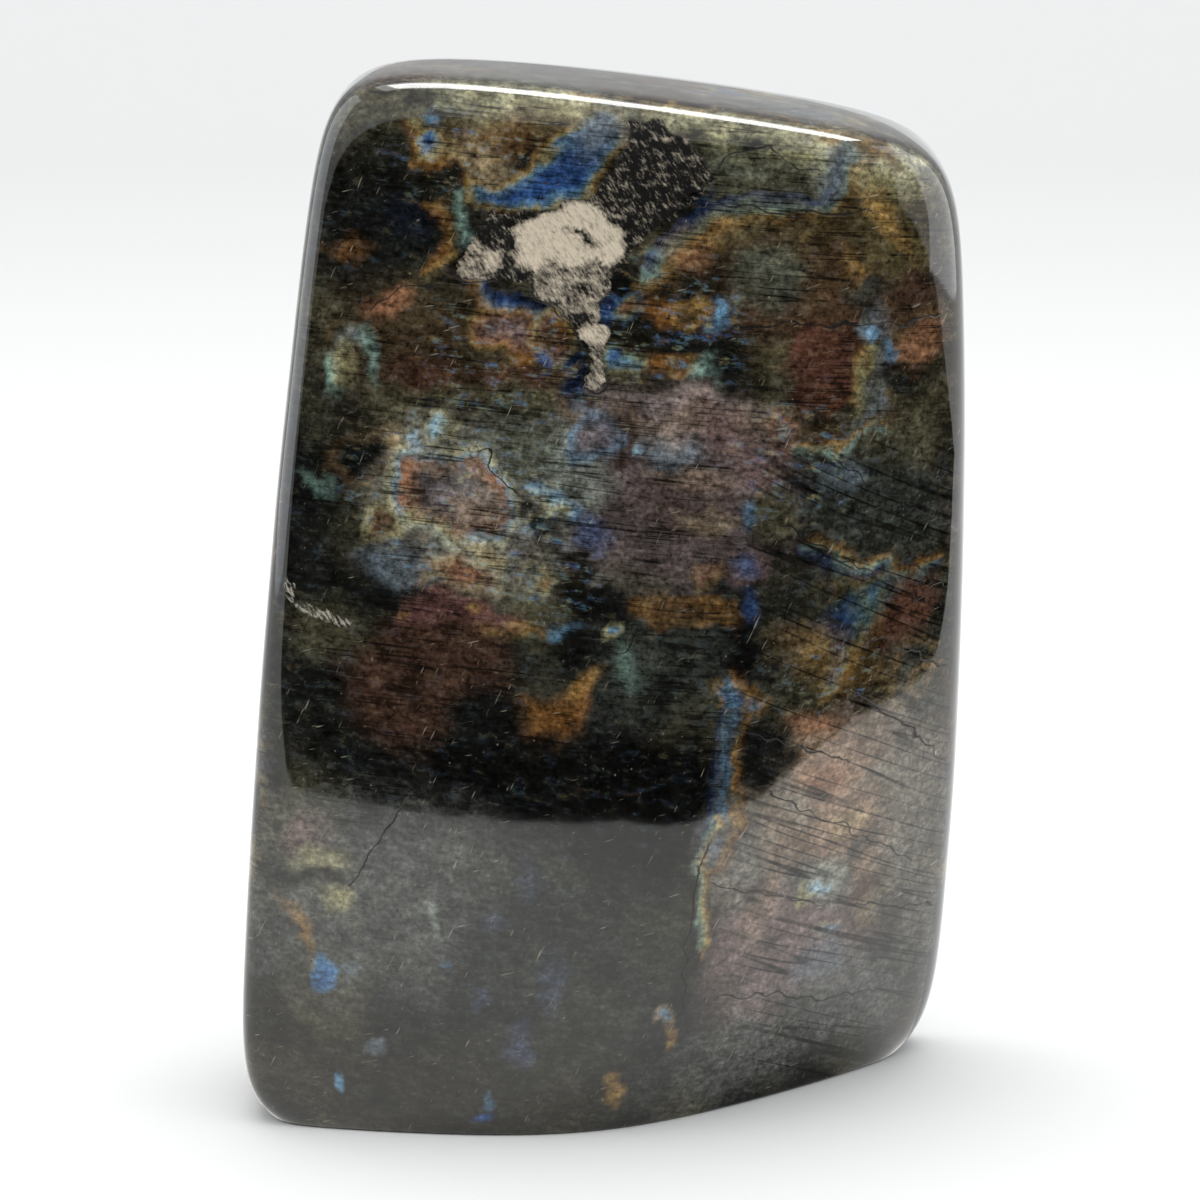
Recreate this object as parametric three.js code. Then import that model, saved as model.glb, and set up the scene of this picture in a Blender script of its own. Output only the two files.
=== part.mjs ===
// Labradorite freeform: one polished block of feldspar, ground to gently crowned faces with soft
// edges and sawn flat underneath so that it stands. Millimetres, +Z up, the broad face towards -Y,
// and the origin at the middle of the base.
//
// The stone is the set of points that lie inside every one of its faces. Each face is a shallow dome
// pressed against the stone from outside, and a smooth maximum of their distances rounds the edges.

import * as THREE from "three";

// Sizes that drive the shape
const HEART_HEIGHT = 80; // the point that all faces are measured from, above the base
const SPINE_TOP = 125; // the stone is traced outwards from a spine that ends here

// How far each edge is softened: about 0.4 of its radius where two faces meet squarely
const OUTLINE_SOFTNESS = 5.4; // corners of the broad outline, a radius of about 13
const BEND_SOFTNESS = 6.5; // the easy bend between two parts of the same side
const EDGE_SOFTNESS = 1.7; // the edges around the broad faces, a radius of about 4

// Each face: turn is the way it looks, in degrees round +Z with 0 at the front and 90 at the right,
// lean is how far it looks up, out is its distance from the heart and crown its radius as a dome.
const FACES = {
  left: { turn: -90, lean: 5.7, out: 49.2, crown: 1800 },
  right: { turn: 88, lean: 0.2, out: 55.2, crown: 1250 },
  top: { turn: 90, lean: 82.8, out: 76.5, crown: 560 },
  underside: { turn: 0, lean: -90, out: 85.6, crown: 400 },
  front: { turn: -7, lean: 1.5, out: 30.7, crown: 600 },
  lowerRightFront: { turn: 38, lean: -10, out: 40.4, crown: 500 },
  back: { turn: 180, lean: 4, out: 25, crown: 900 },
  leftBack: { turn: -138, lean: 3, out: 46, crown: 500 },
};

// The box whose sides are walked to spread the surface points evenly
const CAGE_HALF_WIDTH = 55;
const CAGE_HALF_DEPTH = 28;
const CAGE_HEIGHT = 160;

// Counts of steps along the cage
const STEPS_ACROSS = 30;
const STEPS_DEEP = 18;
const STEPS_UP = 30;
const STEPS_OVER_TOP = 12;
const BUNCHING = 0.65; // how much the steps crowd towards the edges, from 0 to 1

const REACH = 200; // a length from the spine that is outside the stone in every direction
const HALVINGS = 40; // of that length, to find the surface

const heart = new THREE.Vector3(0, 0, HEART_HEIGHT);

for (const face of Object.values(FACES)) {
  const turn = THREE.MathUtils.degToRad(face.turn);
  const lean = THREE.MathUtils.degToRad(face.lean);
  face.normal = new THREE.Vector3(
    Math.sin(turn) * Math.cos(lean),
    -Math.cos(turn) * Math.cos(lean),
    Math.sin(lean),
  );
}

// The largest value, eased over the softness where several are nearly as large.
function smoothMax(softness, ...values) {
  const largest = Math.max(...values);
  const sum = values.reduce((total, value) => total + Math.exp((value - largest) / softness), 0);
  return largest + softness * Math.log(sum);
}

// How far a point lies outside one domed face, negative inside it.
function outsideFace(point, { normal, out, crown }) {
  const offset = point.clone().sub(heart);
  const along = offset.dot(normal);
  const acrossSquared = offset.lengthSq() - along * along;
  return along - out + acrossSquared / (2 * crown);
}

// How far a point lies outside the whole stone, before its base is sawn flat.
function outsideStone(point) {
  const past = (name) => outsideFace(point, FACES[name]);
  const outline = smoothMax(
    OUTLINE_SOFTNESS,
    past("left"),
    past("right"),
    past("top"),
    past("underside"),
  );
  const front = smoothMax(BEND_SOFTNESS, past("front"), past("lowerRightFront"));
  const back = smoothMax(BEND_SOFTNESS, past("back"), past("leftBack"));
  return smoothMax(EDGE_SOFTNESS, outline, front, back);
}

// The surface point met on the way from the spine towards a point of the cage: level with it up the
// walls, so that the lowest row lies in the base, and out of the spine's end above that.
function surfaceTowards(cagePoint) {
  const start = new THREE.Vector3(0, 0, Math.min(cagePoint.z, SPINE_TOP));
  const way = cagePoint.clone().sub(start).normalize();
  let inside = 0;
  let outside = REACH;
  for (let i = 0; i < HALVINGS; i++) {
    const middle = (inside + outside) / 2;
    const point = start.clone().addScaledVector(way, middle);
    if (outsideStone(point) < 0) inside = middle;
    else outside = middle;
  }
  return start.addScaledVector(way, inside);
}

// Shares from 0 up to but not including 1, closer together at both ends, where the edges are.
function easedShares(count) {
  return Array.from({ length: count }, (_, i) => {
    const even = i / count;
    const bunched = (1 - Math.cos(Math.PI * even)) / 2;
    return THREE.MathUtils.lerp(even, bunched, BUNCHING);
  });
}

// Points round the cage's plan, from the left front corner towards the right.
function cagePlan() {
  const corners = [
    new THREE.Vector2(-CAGE_HALF_WIDTH, -CAGE_HALF_DEPTH),
    new THREE.Vector2(CAGE_HALF_WIDTH, -CAGE_HALF_DEPTH),
    new THREE.Vector2(CAGE_HALF_WIDTH, CAGE_HALF_DEPTH),
    new THREE.Vector2(-CAGE_HALF_WIDTH, CAGE_HALF_DEPTH),
  ];
  return corners.flatMap((corner, side) => {
    const next = corners[(side + 1) % corners.length];
    const steps = side % 2 ? STEPS_DEEP : STEPS_ACROSS;
    return easedShares(steps).map((share) => corner.clone().lerp(next, share));
  });
}

// Rows of the cage from the base up its walls, then in over the top towards the summit.
function cageRows() {
  const upWalls = easedShares(STEPS_UP).map((share) => ({ spread: 1, height: share * CAGE_HEIGHT }));
  const overTop = easedShares(STEPS_OVER_TOP).map((share) => ({
    spread: 1 - share,
    height: CAGE_HEIGHT,
  }));
  return [...upWalls, ...overTop];
}

// One closed skin: rings from the base to the top, a fan at the summit and a flat fan under the base.
function stoneGeometry() {
  const plan = cagePlan();
  const rows = cageRows();
  const points = rows.flatMap(({ spread, height }) =>
    plan.map(({ x, y }) => surfaceTowards(new THREE.Vector3(x * spread, y * spread, height))),
  );
  const summit = points.push(surfaceTowards(new THREE.Vector3(0, 0, CAGE_HEIGHT))) - 1;
  const baseMiddle = points.push(new THREE.Vector3(0, 0, 0)) - 1;

  const around = plan.length;
  const lastRow = (rows.length - 1) * around;
  const triangles = [];
  for (let column = 0; column < around; column++) {
    const next = (column + 1) % around;
    for (let row = 0; row < lastRow; row += around) {
      const above = row + around;
      triangles.push(row + column, row + next, above + next);
      triangles.push(row + column, above + next, above + column);
    }
    triangles.push(lastRow + column, lastRow + next, summit);
    triangles.push(next, column, baseMiddle);
  }

  const geometry = new THREE.BufferGeometry().setFromPoints(points).setIndex(triangles);
  geometry.computeBoundingBox();
  const middle = geometry.boundingBox.getCenter(new THREE.Vector3());
  geometry.translate(-middle.x, -middle.y, 0);
  geometry.computeVertexNormals();
  return geometry;
}

const stone = new THREE.Mesh(
  stoneGeometry(),
  new THREE.MeshStandardMaterial({ color: 0x4b4d49, roughness: 0.12, metalness: 0 }),
);
stone.name = "labradorite_stone";

const freeform = new THREE.Group();
freeform.add(stone);

export default freeform;
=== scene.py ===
"""Labradorite freeform: a polished block of dark feldspar whose inner lamellae flash blue, gold and lilac.

The stone is one closed skin, worked out from the same crowned faces as the solid it stands for. Its
colours are laid on the points of that skin mark by mark, broad ones first, and the material adds what is
finer than the points: mottling, cleavage lines, pits and scratches. Lengths are millimetres up to the
point where a mesh is made, then metres.
"""
import functools
import math
from typing import NamedTuple

import bpy
import numpy as np
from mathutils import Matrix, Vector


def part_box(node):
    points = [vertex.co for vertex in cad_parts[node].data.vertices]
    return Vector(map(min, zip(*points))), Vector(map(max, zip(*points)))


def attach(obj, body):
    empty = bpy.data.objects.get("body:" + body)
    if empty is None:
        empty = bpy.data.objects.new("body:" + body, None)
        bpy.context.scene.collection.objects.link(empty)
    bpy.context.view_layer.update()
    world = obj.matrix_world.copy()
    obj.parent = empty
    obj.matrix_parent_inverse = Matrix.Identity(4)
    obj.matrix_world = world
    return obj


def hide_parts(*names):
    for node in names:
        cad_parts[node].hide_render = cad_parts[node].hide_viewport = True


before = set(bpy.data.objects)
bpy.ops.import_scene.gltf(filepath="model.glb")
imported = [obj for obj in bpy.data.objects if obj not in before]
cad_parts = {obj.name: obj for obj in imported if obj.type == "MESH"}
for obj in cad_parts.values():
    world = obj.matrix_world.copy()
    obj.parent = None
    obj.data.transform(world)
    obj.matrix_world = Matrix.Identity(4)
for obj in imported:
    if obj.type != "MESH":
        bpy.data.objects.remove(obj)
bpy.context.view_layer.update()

STONE_NODE = "labradorite_stone"
METRES_PER_MM = 0.001

# The stone's faces, as ground

HEART_HEIGHT = 80.0  # the point that all faces are measured from, above the base
SPINE_TOP = 125.0  # the skin is traced outwards from a spine that ends here
OUTLINE_SOFTNESS = 5.4  # corners of the broad outline, a radius of about 13
BEND_SOFTNESS = 6.5  # the easy bend between two parts of the same side
EDGE_SOFTNESS = 1.7  # the edges around the broad faces, a radius of about 4
BASE_EASE = 0.4  # the sawn base's edge is broken by this much


class Face(NamedTuple):
    """One domed face: the way it looks in degrees, its distance from the heart, its radius as a dome."""

    turn: float
    lean: float
    out: float
    crown: float


FACES = {
    "left": Face(turn=-90, lean=5.7, out=49.2, crown=1800),
    "right": Face(turn=88, lean=0.2, out=55.2, crown=1250),
    "top": Face(turn=90, lean=82.8, out=76.5, crown=560),
    "underside": Face(turn=0, lean=-90, out=85.6, crown=400),
    "front": Face(turn=-7, lean=1.5, out=30.7, crown=600),
    "lower right front": Face(turn=38, lean=-10, out=40.4, crown=500),
    "back": Face(turn=180, lean=4, out=25, crown=900),
    "left back": Face(turn=-138, lean=3, out=46, crown=500),
}

# The cage that spreads the skin's points, and its steps; the front has the finest
CAGE_HALF_WIDTH = 55.0
CAGE_HALF_DEPTH = 28.0
CAGE_HEIGHT = 160.0
STEPS_FRONT = 190
STEPS_RIGHT = 40
STEPS_BACK = 76
STEPS_LEFT = 34
STEPS_UP = 246
STEPS_OVER_TOP = 32
STEPS_UNDER = 5
BUNCHING = 0.35  # how much the steps crowd towards the edges, from 0 to 1
REACH = 200.0  # a length from the spine that is outside the stone in every direction
HALVINGS = 36  # of that length, to find the skin

# Hand polishing leaves the faces very slightly wavy
WAVE_LENGTH = 30.0
WAVE_HEIGHT = 0.03

# Colours of the body and of its flash
COLOURS = {
    "black": "#0d0d0c",
    "night": "#161715",
    "navy": "#151d2e",
    "slate": "#2a2c27",
    "loam": "#27241b",
    "umber": "#352a1c",
    "bronze": "#423a25",
    "cocoa": "#38281f",
    "olive": "#434030",
    "moss": "#4b4d41",
    "brown": "#483726",
    "maroon": "#462e23",
    "plum": "#523934",
    "taupe": "#49403e",
    "mauve": "#62504c",
    "lilac": "#655f63",
    "rose": "#6b5d59",
    "salmon": "#84705f",
    "rust": "#7d573f",
    "amber": "#6a4824",
    "gold": "#876a3b",
    "sand": "#9c8a6a",
    "straw": "#958f68",
    "haze": "#9b987a",
    "sea": "#6a8378",
    "pale blue": "#82a0ad",
    "sky": "#567a94",
    "royal": "#2b4878",
    "lapis": "#1f304e",
    "indigo": "#434b63",
    "steel": "#545d63",
    "ash": "#4e4f4b",
    "grey": "#65625a",
    "silver": "#7d8379",
}
# Films of flash run through several colours from their outer edge inwards
BLUE_FILM = ("amber", "gold", "straw", "sea", "sky")
GOLD_FILM = ("brown", "amber", "gold")
PALE_FILM = ("gold", "sand", "straw")


class Oval(NamedTuple):
    """An oval on a face: centre, half sizes and tilt in degrees. Depth counts inwards from its edge."""

    across: float
    up: float
    wide: float
    high: float
    tilt: float = 0


class Path(NamedTuple):
    """An open line on a face. Depth counts to its left."""

    points: tuple


class Outline(NamedTuple):
    """A closed line on a face. Depth counts inwards."""

    points: tuple


def soft(colour, cover=1.0, rim=1.0):
    """A film of one colour that fades in across its edge: rows of depth, colour and cover."""
    return ((-rim, colour, 0.0), (rim, colour, cover))


def spot(across, up, wide, high, colour, cover, rim, tilt=0):
    """A mark that is an oval in one colour."""
    return Oval(across, up, wide, high, tilt), soft(colour, cover, rim)


def fringed(fringe, colour, cover=1.0, step=0.6):
    """A film whose edge runs through the fringe's colours, a step for each, before its own colour."""
    start = -step * (len(fringe) + 1) / 2
    rows = [(start + step * (i + 1), name, cover * 0.65) for i, name in enumerate(fringe)]
    return ((start, fringe[0], 0.0), *rows, (start + step * (len(fringe) + 2), colour, cover))


# Across and up on the front face, in millimetres from the middle of the base, broad marks first
FRONT_MARKS = {
    "olive corner": spot(-30, 154, 15, 5, "olive", 1, 3),
    "night upper left": spot(-34, 139, 11, 11, "night", 0.9, 5),
    "umber under the zigzag": spot(-26, 122, 13, 7, "umber", 0.85, 4),
    "dark left edge": spot(-44, 97, 7, 22, "night", 0.9, 4, 3),
    "night left": spot(-38, 68, 16, 16, "night", 0.85, 5),
    "bronze upper right": spot(38, 134, 18, 18, "bronze", 0.95, 6),
    "moss at the top": spot(21, 150, 17, 6, "moss", 1, 3, -4),
    "taupe middle": spot(9, 100, 19, 14, "taupe", 1, 4),
    "cocoa under the dome": spot(33, 125.5, 17, 4, "cocoa", 0.85, 2),
    "slate right": spot(40, 97, 12, 9, "slate", 1, 2.5, -28),
    "olive right": spot(42, 109, 9, 5, "olive", 0.9, 3),
    "slate below the middle": spot(11, 75, 19, 9, "slate", 1, 4),
    "night right of the middle": spot(26, 81, 11, 8, "night", 0.7, 3),
    "grey round the ring": spot(-20, 97.5, 13, 12, "grey", 0.9, 4, -20),
    "silver by the arc": spot(-4, 99.5, 4.5, 3.6, "silver", 0.6, 1.6),
    "cocoa left": spot(-26, 71, 12, 11, "cocoa", 1, 2.5, 10),
    "olive left": spot(-40.5, 78, 5, 4.5, "olive", 0.8, 2.5),
    "black green": spot(-17, 64, 8, 6, "night", 1, 2, 20),
    "black field": (Outline(((-27, 62), (-14, 63), (-2, 61), (14, 65), (17, 58), (16, 46), (10, 42),
                             (-10, 44), (-27, 50))), soft("black", 1, 2.5)),
    # Painted reflection, in part: ash lighter than the dark stone beneath, adding to the pale floor that the
    # polish mirrors in the lower left
    "ash lower left, partly painted reflection": spot(-33, 37, 24, 14, "ash", 0.9, 6),
    "slate lower middle": spot(-5, 26, 18, 20, "slate", 0.85, 6),
    "loam foot": spot(-25, 6, 30, 9, "loam", 0.8, 5),
    # Painted reflection, in part: the pale grey, salmon and rose of the lower right hold the pale floor
    # mirrored over the stone's pink flash, as well as the stone's own colour
    "grey beside the seam, partly painted reflection": spot(22, 43, 7, 10, "grey", 1, 3),
    "salmon lower right, partly painted reflection": spot(37, 49, 12, 14, "salmon", 1, 4, 20),
    "rose lower right, partly painted reflection": spot(28, 25, 12, 13, "rose", 0.95, 4),
    "grey right edge, partly painted reflection": spot(47, 43, 6, 22, "grey", 0.85, 3, 3),
    # Painted shade: a darker ash band along the right foot, where the shadowed floor by the contact is
    # mirrored
    "painted shade along the right foot": spot(30, 12, 22, 8, "ash", 0.9, 3, 14),

    "haze along the top left": spot(-17, 155.5, 8, 2.6, "haze", 0.7, 2, -4),
    "haze along the top": (Path(((-14, 158.5), (0, 157.4), (12, 156), (24, 154), (36, 151), (42, 148))),
                           ((-9, "olive", 0), (-5.5, "straw", 0.6), (-2.6, "haze", 1), (0, "gold", 0.7),
                            (1.5, "haze", 0.9))),
    "wedge": spot(4.3, 150.5, 1.6, 4.6, "night", 0.95, 0.8, -12),
    "mottled dark": spot(10.5, 147.5, 4.5, 4, "loam", 0.9, 1.5, -20),
    "knot": spot(-27, 155.3, 2, 1.5, "black", 0.8, 0.7),
    "teal dot": spot(-25.3, 152.8, 1.2, 0.8, "sky", 0.8, 0.6),
    "gold web": (Path(((-28, 151), (-25.5, 146.5), (-22, 146.5), (-19.5, 143))),
                 ((-1.6, "brown", 0), (-0.8, "amber", 0.9), (0, "gold", 1), (0.9, "straw", 0.9),
                  (1.8, "brown", 0))),
    "blue spot": (Oval(-25, 148.7, 1.9, 2), fringed(("gold", "straw", "sky"), "royal", 1, 0.5)),
    "tan web": spot(-18.3, 147.2, 4.2, 2.6, "sand", 0.75, 1.6, -10),
    "dark eye of the web": spot(-22.2, 144.9, 1.8, 1.1, "night", 0.9, 0.6, -35),
    "brown web": spot(-14, 151.5, 7, 2.6, "amber", 0.45, 1.6, 4),
    "crescent": (Outline(((-19.2, 141.6), (-15, 140), (-9, 139.8), (-4, 141.6), (0, 145.5), (3, 150.5),
                          (2.5, 153.5), (-2, 153.4), (-6, 150), (-9.5, 146.2), (-13, 143.8),
                          (-17.5, 143.9))),
                 fringed(("gold", "straw", "sky"), "royal", 1, 0.6)),
    "pale top of the crescent": spot(-0.8, 150.6, 4.2, 2.8, "steel", 0.9, 1.5, 40),
    "shadow upper left": spot(-28.5, 137.5, 5.2, 6.4, "night", 1, 1.6),
    "navy in the shadow": spot(-27.5, 138.5, 2.6, 2.6, "navy", 0.35, 1.5),
    "amber arc": (Path(((-24.6, 140), (-22.6, 137), (-23.2, 133.3), (-26.2, 130.6))),
                  ((-1.2, "brown", 0), (-0.3, "amber", 0.95), (0.6, "gold", 0.7), (1.8, "olive", 0))),
    "sea by the arc": spot(-20.6, 138.4, 0.9, 2.4, "sea", 0.8, 0.7, 8),
    "brown by the left edge": spot(-36.8, 134, 2.8, 1.9, "amber", 0.55, 1.2),
    "rust under the zigzag": spot(-31, 126.8, 3.3, 1.6, "rust", 0.75, 0.8, 10),
    "teal left": (Oval(-36, 121.6, 3.2, 2.8), fringed(("brown", "olive"), "steel", 0.8, 0.8)),
    "cyan streak": spot(-38.6, 116.2, 0.8, 2.8, "sea", 0.75, 0.6, -14),
    "straw by the streak": spot(-36.9, 118.3, 0.9, 3, "straw", 0.6, 0.7, -12),
    "teal streak": spot(-33.6, 119.3, 0.8, 3.1, "sea", 0.8, 0.6, 10),
    "maroon streaks": spot(-26, 116.5, 6, 1.5, "maroon", 0.8, 1, -3),
    "mauve under the pocket": (Oval(-14.2, 122.4, 4.8, 2.5, -38),
                               fringed(("gold", "rust"), "mauve", 0.95, 0.6)),
    "skirt": (Path(((-2.8, 113.5), (-4.4, 120), (-8, 124), (-12, 127.5), (-18, 130.5))),
              ((-0.2, "navy", 0), (0, "navy", 1), (1.2, "lapis", 1), (2, "steel", 1), (2.8, "gold", 0.7),
               (3.6, "rust", 0))),
    "gold ring": (Oval(-8, 122.3, 2.2, 2.1), fringed(("straw", "gold", "amber"), "brown", 1, 0.5)),
    "royal dot": spot(-8.9, 119.4, 1.2, 0.9, "royal", 1, 0.5),
    "gold dots": spot(-12, 118.6, 1.8, 0.9, "amber", 0.9, 0.5),
    "rust dot": (Oval(-5.8, 117.8, 1.2, 0.9), fringed(("gold",), "rust", 1, 0.5)),
    "maroon under the dots": spot(-12.5, 116, 5, 1.7, "maroon", 0.9, 1, -4),
    "navy by the drip": spot(-4.2, 115, 1.9, 2.8, "navy", 1, 0.8),

    "arc": (Path(((34, 148.5), (32.5, 144), (28, 142.6), (22, 142.2), (17, 142.6), (13, 141), (9, 137),
                  (5.8, 132.4))),
            ((-0.6, "lapis", 0), (0.2, "lapis", 0.85), (1.2, "steel", 0.8), (2.4, "sea", 0.6),
             (3.4, "gold", 0.6), (4.8, "brown", 0.5), (6, "olive", 0))),
    "grey-blue": spot(33, 146.5, 3.4, 2.6, "steel", 0.95, 1.6, 30),
    "hook's head": spot(21, 148.8, 2, 1.3, "night", 0.95, 0.6, -10),
    "gold-brown": spot(14, 136.6, 4.6, 2.4, "gold", 0.5, 1.6, 25),
    "rust-brown": spot(12.6, 133.6, 2.4, 2.2, "rust", 0.5, 1.2),
    "dome": (Oval(24, 130.2, 7.6, 6), fringed(("brown",), "moss", 0.9, 1)),
    "brown by the dome": spot(33, 131, 4, 6, "brown", 0.8, 2),
    "gold streak": spot(40.5, 138, 4.6, 1, "gold", 0.75, 0.8, -58),
    "gold streak two": spot(36.5, 131.2, 3, 0.6, "gold", 0.6, 0.6, -52),
    "grey right": spot(37.6, 127.6, 2.4, 2.2, "slate", 0.9, 0.8, -30),
    "dark right": spot(45, 128.2, 4, 2.7, "cocoa", 0.9, 1.2),
    "maroon field": (Outline(((26.6, 124), (36.6, 123.4), (37, 112), (27.5, 111.5), (25.8, 117.5))),
                     soft("maroon", 1, 0.8)),
    "column": (Path(((36.7, 111), (36.9, 121.4))),
               ((-6, "brown", 0), (-5, "brown", 0.6), (-3.6, "steel", 0.55), (-2.2, "moss", 0.6),
                (-1.1, "straw", 0.45), (-0.3, "gold", 0.55), (0.5, "maroon", 0))),
    "sky over the column": spot(38.3, 122.1, 1.3, 1, "sky", 0.85, 0.5),
    "sky by the column": spot(42, 119.6, 0.9, 1.9, "sky", 0.8, 0.5, 28),
    "rust at the right edge": spot(46, 120, 3, 3.4, "rust", 0.6, 1.2),
    "dark block": spot(43, 116, 3.2, 2, "night", 0.9, 0.7),

    "lapis by the neck": spot(0.7, 125.4, 1.2, 2.4, "lapis", 1, 0.5),
    "gold by the neck": (Oval(3.8, 125.6, 2.1, 1.9), fringed(("sky", "straw"), "rust", 1, 0.5)),
    "amber past the neck": spot(7.6, 125.4, 1.9, 1.8, "amber", 0.95, 0.7),
    "brown oval past the neck": (Oval(12.2, 126, 3, 2.1), fringed(("gold",), "umber", 1, 0.6)),
    "sky past the neck": spot(17, 126, 1.1, 2.1, "sky", 0.9, 0.6, 15),
    "blue by the drip": (Oval(2.5, 119, 2.1, 1.8, 20), fringed(("straw", "sea", "sky"), "royal", 1, 0.4)),
    "amber past the drip": spot(7.2, 118.7, 1.9, 1.6, "amber", 0.9, 0.7),
    "olive past the drip": (Oval(11.3, 118, 2.6, 1.9), fringed(("gold", "amber"), "olive", 1, 0.5)),
    "sea past the drip": spot(15, 117, 1.7, 2.3, "sea", 0.8, 0.9, -20),
    "lilac strip": spot(10, 112.7, 10, 1.3, "lilac", 0.8, 0.8, -1),

    "dark eye": (Oval(-35.6, 104, 4.6, 3.3, -42), fringed(("brown", "brown"), "night", 1, 0.6)),
    "tan by the eye": spot(-31.6, 104.6, 1.2, 2.8, "sand", 0.8, 0.8, 15),
    "mist": spot(-12, 105.5, 8, 4.6, "moss", 0.85, 2, -12),
    "sea patch": spot(-5.4, 104.3, 2.6, 5.6, "silver", 0.6, 1.6, -8),
    "lilac drop": (Oval(-1.8, 107.2, 2.8, 3.6, -10), fringed(("sky",), "lilac", 0.95, 0.8)),
    "royal over the ring": (Oval(-27, 106, 1.9, 1.2, 8), fringed(("pale blue",), "royal", 1, 0.4)),
    "sky over the ring": (Oval(-23, 109.4, 1.9, 1.6, 45), fringed(("straw",), "pale blue", 0.95, 0.5)),
    "ring": (Oval(-22.3, 98.6, 7.6, 5.6, -28),
             ((-2.2, "haze", 0), (-1.2, "haze", 1), (-0.4, "pale blue", 0.6), (0.4, "rust", 1),
              (1.5, "salmon", 0.95), (2.6, "taupe", 0.9), (4, "lilac", 0.9))),
    "rust of the ring": spot(-27.6, 100.4, 1.2, 3, "rust", 0.95, 0.8, -15),
    "pale in the ring": spot(-20.2, 96.8, 3.6, 1.5, "salmon", 0.8, 1, -28),
    "belt": (Path(((-27.5, 95.6), (-21, 92), (-14, 89))),
             ((-2.6, "steel", 0), (-1.4, "silver", 0.8), (-0.6, "straw", 0.9), (0.6, "sand", 0.9),
              (1.6, "straw", 0))),
    "blue arc": (Path(((-11, 101), (-8, 98.6), (-6.6, 95.6), (-10, 94.6))),
                 ((-1.2, "sand", 0), (-0.6, "straw", 0.8), (0.2, "pale blue", 0.9), (1, "sky", 0.8),
                  (2, "steel", 0))),
    "dark spot": spot(-12.2, 98, 1.4, 1.7, "night", 0.9, 0.6),
    "orange block": (Oval(-20.5, 87.2, 6, 2.6, -6), fringed(("sand",), "rust", 0.8, 0.8)),
    "brown oval": (Oval(-32, 94.6, 3.2, 2.9, -35), fringed(("straw",), "brown", 0.9, 0.6)),
    "steel under the oval": spot(-31.4, 88.6, 4, 2, "steel", 0.85, 1.2, -8),
    "teal at the left": spot(-41, 100.2, 1.7, 1.2, "sea", 0.7, 0.8, -35),
    "indigo patch": spot(-2.4, 94.2, 3.6, 2, "indigo", 0.9, 1, -18),
    "orange spot": (Oval(-8.5, 86, 1.9, 1.9), fringed(("steel", "straw"), "rust", 0.95, 0.6)),
    "sky low": spot(-6, 79.8, 2.2, 0.9, "sky", 0.7, 0.5),
    "mauve field": (Outline(((-30, 84), (-20, 84), (-13, 83), (-10.5, 80), (-18, 79.4), (-30, 80))),
                    soft("plum", 1, 0.7)),
    "gold in the mauve": spot(-28.2, 82, 1.2, 0.8, "gold", 0.8, 0.5),
    "gold in the mauve two": spot(-19.6, 82, 1.1, 0.8, "gold", 0.8, 0.5),
    "leaf": (Oval(-14, 79.6, 3.8, 1.3), fringed(("gold",), "night", 0.95, 0.6)),
    "gold patch": (Outline(((-13, 69.5), (-8, 71), (-5, 73), (-1.6, 73.4), (-0.6, 70.6), (-1.6, 67.5),
                            (-3, 63.5),
                            (-7, 61.5), (-12, 64))), fringed(("brown",), "amber", 0.8, 0.8)),
    "gold top": spot(-4, 71.2, 3.6, 1.8, "gold", 0.5, 0.9, 15),

    "channel": (Path(((3.8, 112), (2.3, 107.5), (1.2, 103))),
                ((-1, "cocoa", 0), (-0.5, "cocoa", 0.95), (0.5, "cocoa", 0.95), (1, "cocoa", 0))),
    "pale chip": spot(4.6, 106.5, 1.4, 1.3, "pale blue", 0.75, 0.5),
    "steel hatch": spot(9.6, 107, 4.2, 2.6, "steel", 0.95, 1.2, -28),
    "pale band of the middle": spot(13, 110.6, 12, 3, "salmon", 0.5, 2, -3),
    "dark of the middle": spot(10, 98, 5, 3, "cocoa", 0.5, 2.5, -10),
    "mauve blob": spot(16.2, 108.4, 3.6, 3.2, "mauve", 0.9, 1.6),
    "blue-grey": (Oval(25, 107.6, 2.3, 3), fringed(("rust",), "steel", 1, 0.9)),
    "mauve right": spot(22, 102.6, 4, 2.6, "mauve", 0.9, 1.4, -10),
    "olive-brown": spot(31.5, 107.4, 4.4, 2.6, "umber", 0.9, 1.2),
    "gold over the slate": (Path(((27, 105.6), (33, 105.4), (41, 108))),
                            ((-1, "sea", 0), (-0.3, "sea", 0.7), (0.5, "gold", 0.8), (1.2, "brown", 0))),
    "blue-grey of the slate": spot(34.2, 101.6, 2.4, 2.6, "steel", 0.6, 1.4),
    "pale sparkle": spot(13, 101.6, 5, 1.6, "salmon", 0.5, 1, -14),
    "gold sparkle": spot(15.5, 95.6, 3.4, 0.8, "sand", 0.4, 0.7, -16),
    "grey-olive": spot(24.6, 95.6, 3.6, 3.2, "olive", 0.9, 1.2, -20),
    "blue in the olive": spot(21.2, 95.4, 0.9, 1.7, "sky", 0.6, 0.6, 15),
    "indigo spot": (Oval(21.2, 88.4, 3.6, 2.6, -5), fringed(("mauve",), "indigo", 0.95, 0.6)),
    "rust by the spot": (Oval(14.8, 87.6, 2.6, 1.7), fringed(("gold",), "rust", 0.6, 0.6)),
    "gold zigzag": (Path(((30, 91), (35, 88), (41, 86.4), (45, 83.8), (47.4, 86.4), (49, 86))),
                    ((-2.4, "navy", 0), (-1.4, "lapis", 0.6), (-0.6, "sea", 0.6), (0.2, "gold", 0.7),
                     (0.9, "amber", 0.55), (1.8, "umber", 0))),
    "navy streak": spot(31.6, 87.8, 2.8, 1.2, "navy", 0.9, 0.6, -28),
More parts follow.
